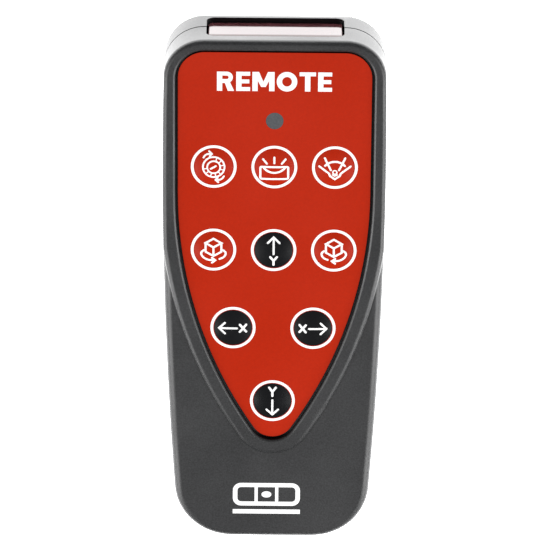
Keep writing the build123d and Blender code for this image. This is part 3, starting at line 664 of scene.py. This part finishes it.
# Each letter gives its flat shapes, from its lower left corner, and its width.
def letter_r():
    waist = CAP_H * 0.41
    bowl_r = (CAP_H - ARM - waist) / 2
    bowl = [(STEM / 2, CAP_H - ARM / 2)] + arc((2.4, CAP_H - ARM / 2 - bowl_r), bowl_r, 90, -90)
    bowl.append((STEM / 2, waist + ARM / 2))
    leg = [(1.75, waist + ARM / 2), (2.65, 0), (4.2, 0), (3.05, waist + ARM / 2)]
    return [bar(0, 0, STEM, CAP_H), stroke(bowl, ARM), polygon(leg)], 4.15


def letter_e():
    width, middle = 3.4, (CAP_H - ARM) / 2
    return [bar(0, 0, STEM, CAP_H), bar(STEM / 2, 0, width, ARM),
            bar(STEM / 2, middle, width * 0.94, middle + ARM),
            bar(STEM / 2, CAP_H - ARM, width, CAP_H)], width


def letter_m():
    width, dip = 5.4, 1.1
    slant = [(0.1, CAP_H), (1.6, CAP_H), (3.25, dip), (2.15, dip)]
    return [bar(0, 0, STEM, CAP_H), bar(width - STEM, 0, width, CAP_H), polygon(slant),
            polygon([(width - x, y) for x, y in reversed(slant)])], width


def letter_o():
    width = 5.0
    radius = (width - STEM) / 2
    stretch = (CAP_H + 0.1 - STEM) / 2 / radius
    return [stroke(arc((width / 2, CAP_H / 2), radius, stretch=stretch), STEM)], width


def letter_t():
    width = 4.0
    return [bar(0, CAP_H - ARM, width, CAP_H),
            bar((width - STEM) / 2, 0, (width + STEM) / 2, CAP_H)], width


shapes, pen = [], WORD_X
for letter in (letter_r, letter_e, letter_m, letter_o, letter_t, letter_e):
    drawn, width = letter()
    shapes += moved(drawn, pen, WORD_Y)
    pen += width + LETTER_GAP
piece("panel_word", film(shapes, lambda x, y: panel_z), "casing", INK)

# a level vial over a plain bar
BEZEL_RISE = 1.0  # of the bezel above the lower face
lower_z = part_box("front_shell")[1].z / MM - BEZEL_RISE
MARK_X, MARK_Y = -1.3, face_y - 60.0
lines = [(rounded_box(7.9, 2.6, 1.5), 1.15),
         ([(-2.6, -2.3), (-2.6, 2.3)], 0.8), ([(2.6, -2.3), (2.6, 2.3)], 0.8)]
bubble = polygon(arc((0, 0), 1.25, stretch=0.7)[:-1])
shapes = [stroke(path, width) for path, width in lines] + [bubble, bar(-8.5, -5.4, 8.5, -4.2)]
piece("lower_mark", film(moved(shapes, MARK_X, MARK_Y), lambda x, y: lower_z), "casing", INK)


# ---------------------------------------------------------------- infra-red window
FLANGE = 0.7  # of the CAD window, behind the wall
LENS_CORNER = 2.0
RIM = 0.25  # round of the lens's outer edge
SIDE_STEP = 0.3  # shadow gap round the lens
LENS_BACK, STEP_BACK, STEP_FRONT = 3.1, 1.9, 1.75  # depths behind the lens's face
FACE_DEPTH = 1.6  # points nearer the wall's plane than this belong to the face
FRONT_FALL, BACK_FALL, BACK_CURVE = 0.6, 1.15, 1.8
SLICES = 28  # the lens is cut into this many level strips, to follow its curve
LENS_SHARP = 9  # degrees between faces from which their edge shows
low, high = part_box("ir_window")
half_w = high.x / MM - FLANGE
z_low, z_high = low.z / MM + FLANGE, high.z / MM - FLANGE
z_ridge = z_low + 6.2
y_wall = CAD_BOX[1][1] / MM


def lens_y(z):
    """Outer face of the window: a ridge, a gently tilted front facet, a hollow back facet."""
    if z >= z_ridge:
        return -FRONT_FALL * (z - z_ridge) / (z_high - z_ridge)
    t = min(1.0, (z_ridge - z) / (z_ridge - z_low))
    return -BACK_FALL * (1 - (1 - t) ** BACK_CURVE)


def lens_outline(inset):
    """Points (x, z) round the lens, moved inwards by inset."""
    points = []
    corner = LENS_CORNER - inset
    w, h = half_w - inset, (z_high - z_low) / 2 - inset
    mid = (z_high + z_low) / 2
    for cx, cz, a in ((1, 1, 0), (-1, 1, 90), (-1, -1, 180), (1, -1, 270)):
        points += arc((cx * (w - corner), mid + cz * (h - corner)), corner, a, a + 90)
    return points


bm = bmesh.new()
rows = []
for inset, back in ((0.0, LENS_BACK), (0.0, STEP_BACK), (SIDE_STEP, STEP_FRONT), (SIDE_STEP, RIM),
                    (SIDE_STEP + RIM * 0.3, RIM * 0.3), (SIDE_STEP + RIM, 0.0)):
    rows.append([bm.verts.new((x * MM, (y_wall + lens_y(z) - back) * MM, z * MM))
                 for x, z in lens_outline(inset)])
for a, b in zip(rows, rows[1:]):
    for k in range(len(a)):
        m = (k + 1) % len(a)
        bm.faces.new((a[k], a[m], b[m], b[k]))
bm.faces.new(list(reversed(rows[0])))
bm.faces.new(rows[-1])
TINY = 1e-7
for z in [z_low + (z_high - z_low) * k / SLICES for k in range(1, SLICES)] + [z_ridge]:
    geom = bm.verts[:] + bm.edges[:] + bm.faces[:]
    bmesh.ops.bisect_plane(bm, geom=geom, plane_co=(0, 0, z * MM), plane_no=(0, 0, 1), dist=TINY)
edge = SIDE_STEP + RIM
for v in bm.verts:
    x, y, z = v.co / MM
    inside = abs(x) <= half_w - edge - 1e-4 and z_low + edge <= z <= z_high - edge
    if inside and y > y_wall - FACE_DEPTH:
        v.co.y = (y_wall + lens_y(z)) * MM
bmesh.ops.remove_doubles(bm, verts=bm.verts, dist=TINY)
bmesh.ops.recalc_face_normals(bm, faces=bm.faces)
mesh = bpy.data.meshes.new("window_lens")
bm.to_mesh(mesh)
bm.free()
lens = piece("window_lens", mesh, "casing", LOOKS["window"], smooth=True)
lens.data.set_sharp_from_angle(angle=math.radians(LENS_SHARP))
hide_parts("ir_window")

# ---------------------------------------------------------------- studio
GLOW = 4.4  # a floor lit like a light table gives the end walls their pale reflection
FLOOR_HALF = 1.6
FLOOR_Z = -0.0002
BOX_PLACE = (0.72, -0.42, 0.66)
BOX_SIZE = (0.6, 0.9)
BOX_POWER = 12.5
AMBIENT = 0.25

mat = bpy.data.materials.new("glowing_floor")
mat.use_nodes = True
shader = mat.node_tree.nodes["Principled BSDF"]
shader.inputs["Base Color"].default_value = (0.8, 0.8, 0.8, 1)
shader.inputs["Roughness"].default_value = 0.9
shader.inputs["Emission Color"].default_value = (1, 1, 1, 1)
shader.inputs["Emission Strength"].default_value = GLOW
bm = bmesh.new()
bmesh.ops.create_grid(bm, x_segments=8, y_segments=8, size=FLOOR_HALF)
mesh = bpy.data.meshes.new("floor")
bm.to_mesh(mesh)
bm.free()
mesh.materials.append(mat)
floor = bpy.data.objects.new("floor", mesh)
bpy.context.scene.collection.objects.link(floor)
floor.location.z = FLOOR_Z

for name, side in (("left_box", -1), ("right_box", 1)):
    light = bpy.data.lights.new(name, "AREA")
    light.shape = "RECTANGLE"
    light.size, light.size_y = BOX_SIZE
    light.energy = BOX_POWER
    softbox = bpy.data.objects.new(name, light)
    bpy.context.scene.collection.objects.link(softbox)
    softbox.location = (side * BOX_PLACE[0], *BOX_PLACE[1:])
    softbox.rotation_euler = (-softbox.location).to_track_quat("-Z", "Y").to_euler()

world = bpy.data.worlds.new("studio")
bpy.context.scene.world = world
world.use_nodes = True
background = world.node_tree.nodes["Background"]
background.inputs["Color"].default_value = (1, 1, 1, 1)
background.inputs["Strength"].default_value = AMBIENT

# ---------------------------------------------------------------- camera
TILT = math.radians(23.4)  # towards the window's end
ROLL = math.radians(0.5)
DISTANCE = 1.2
LENS, SENSOR = 315.6, 36
AIM_X, AIM_Y = 0.77, 0.43  # in mm, from the middle of the key face
target = Vector((AIM_X * MM, (face_y + AIM_Y) * MM, CAD_BOX[1][2]))
camera = bpy.data.cameras.new("camera")
camera.sensor_width = SENSOR
camera.lens = LENS
camera.clip_end = 10
eye = bpy.data.objects.new("camera", camera)
bpy.context.scene.collection.objects.link(eye)
eye.location = target + DISTANCE * Vector((0, math.sin(TILT), math.cos(TILT)))
eye.rotation_euler = (-TILT, 0, 0)
eye.rotation_euler.rotate_axis("Z", ROLL)
bpy.context.scene.camera = eye
bpy.context.scene.view_settings.view_transform = "Standard"
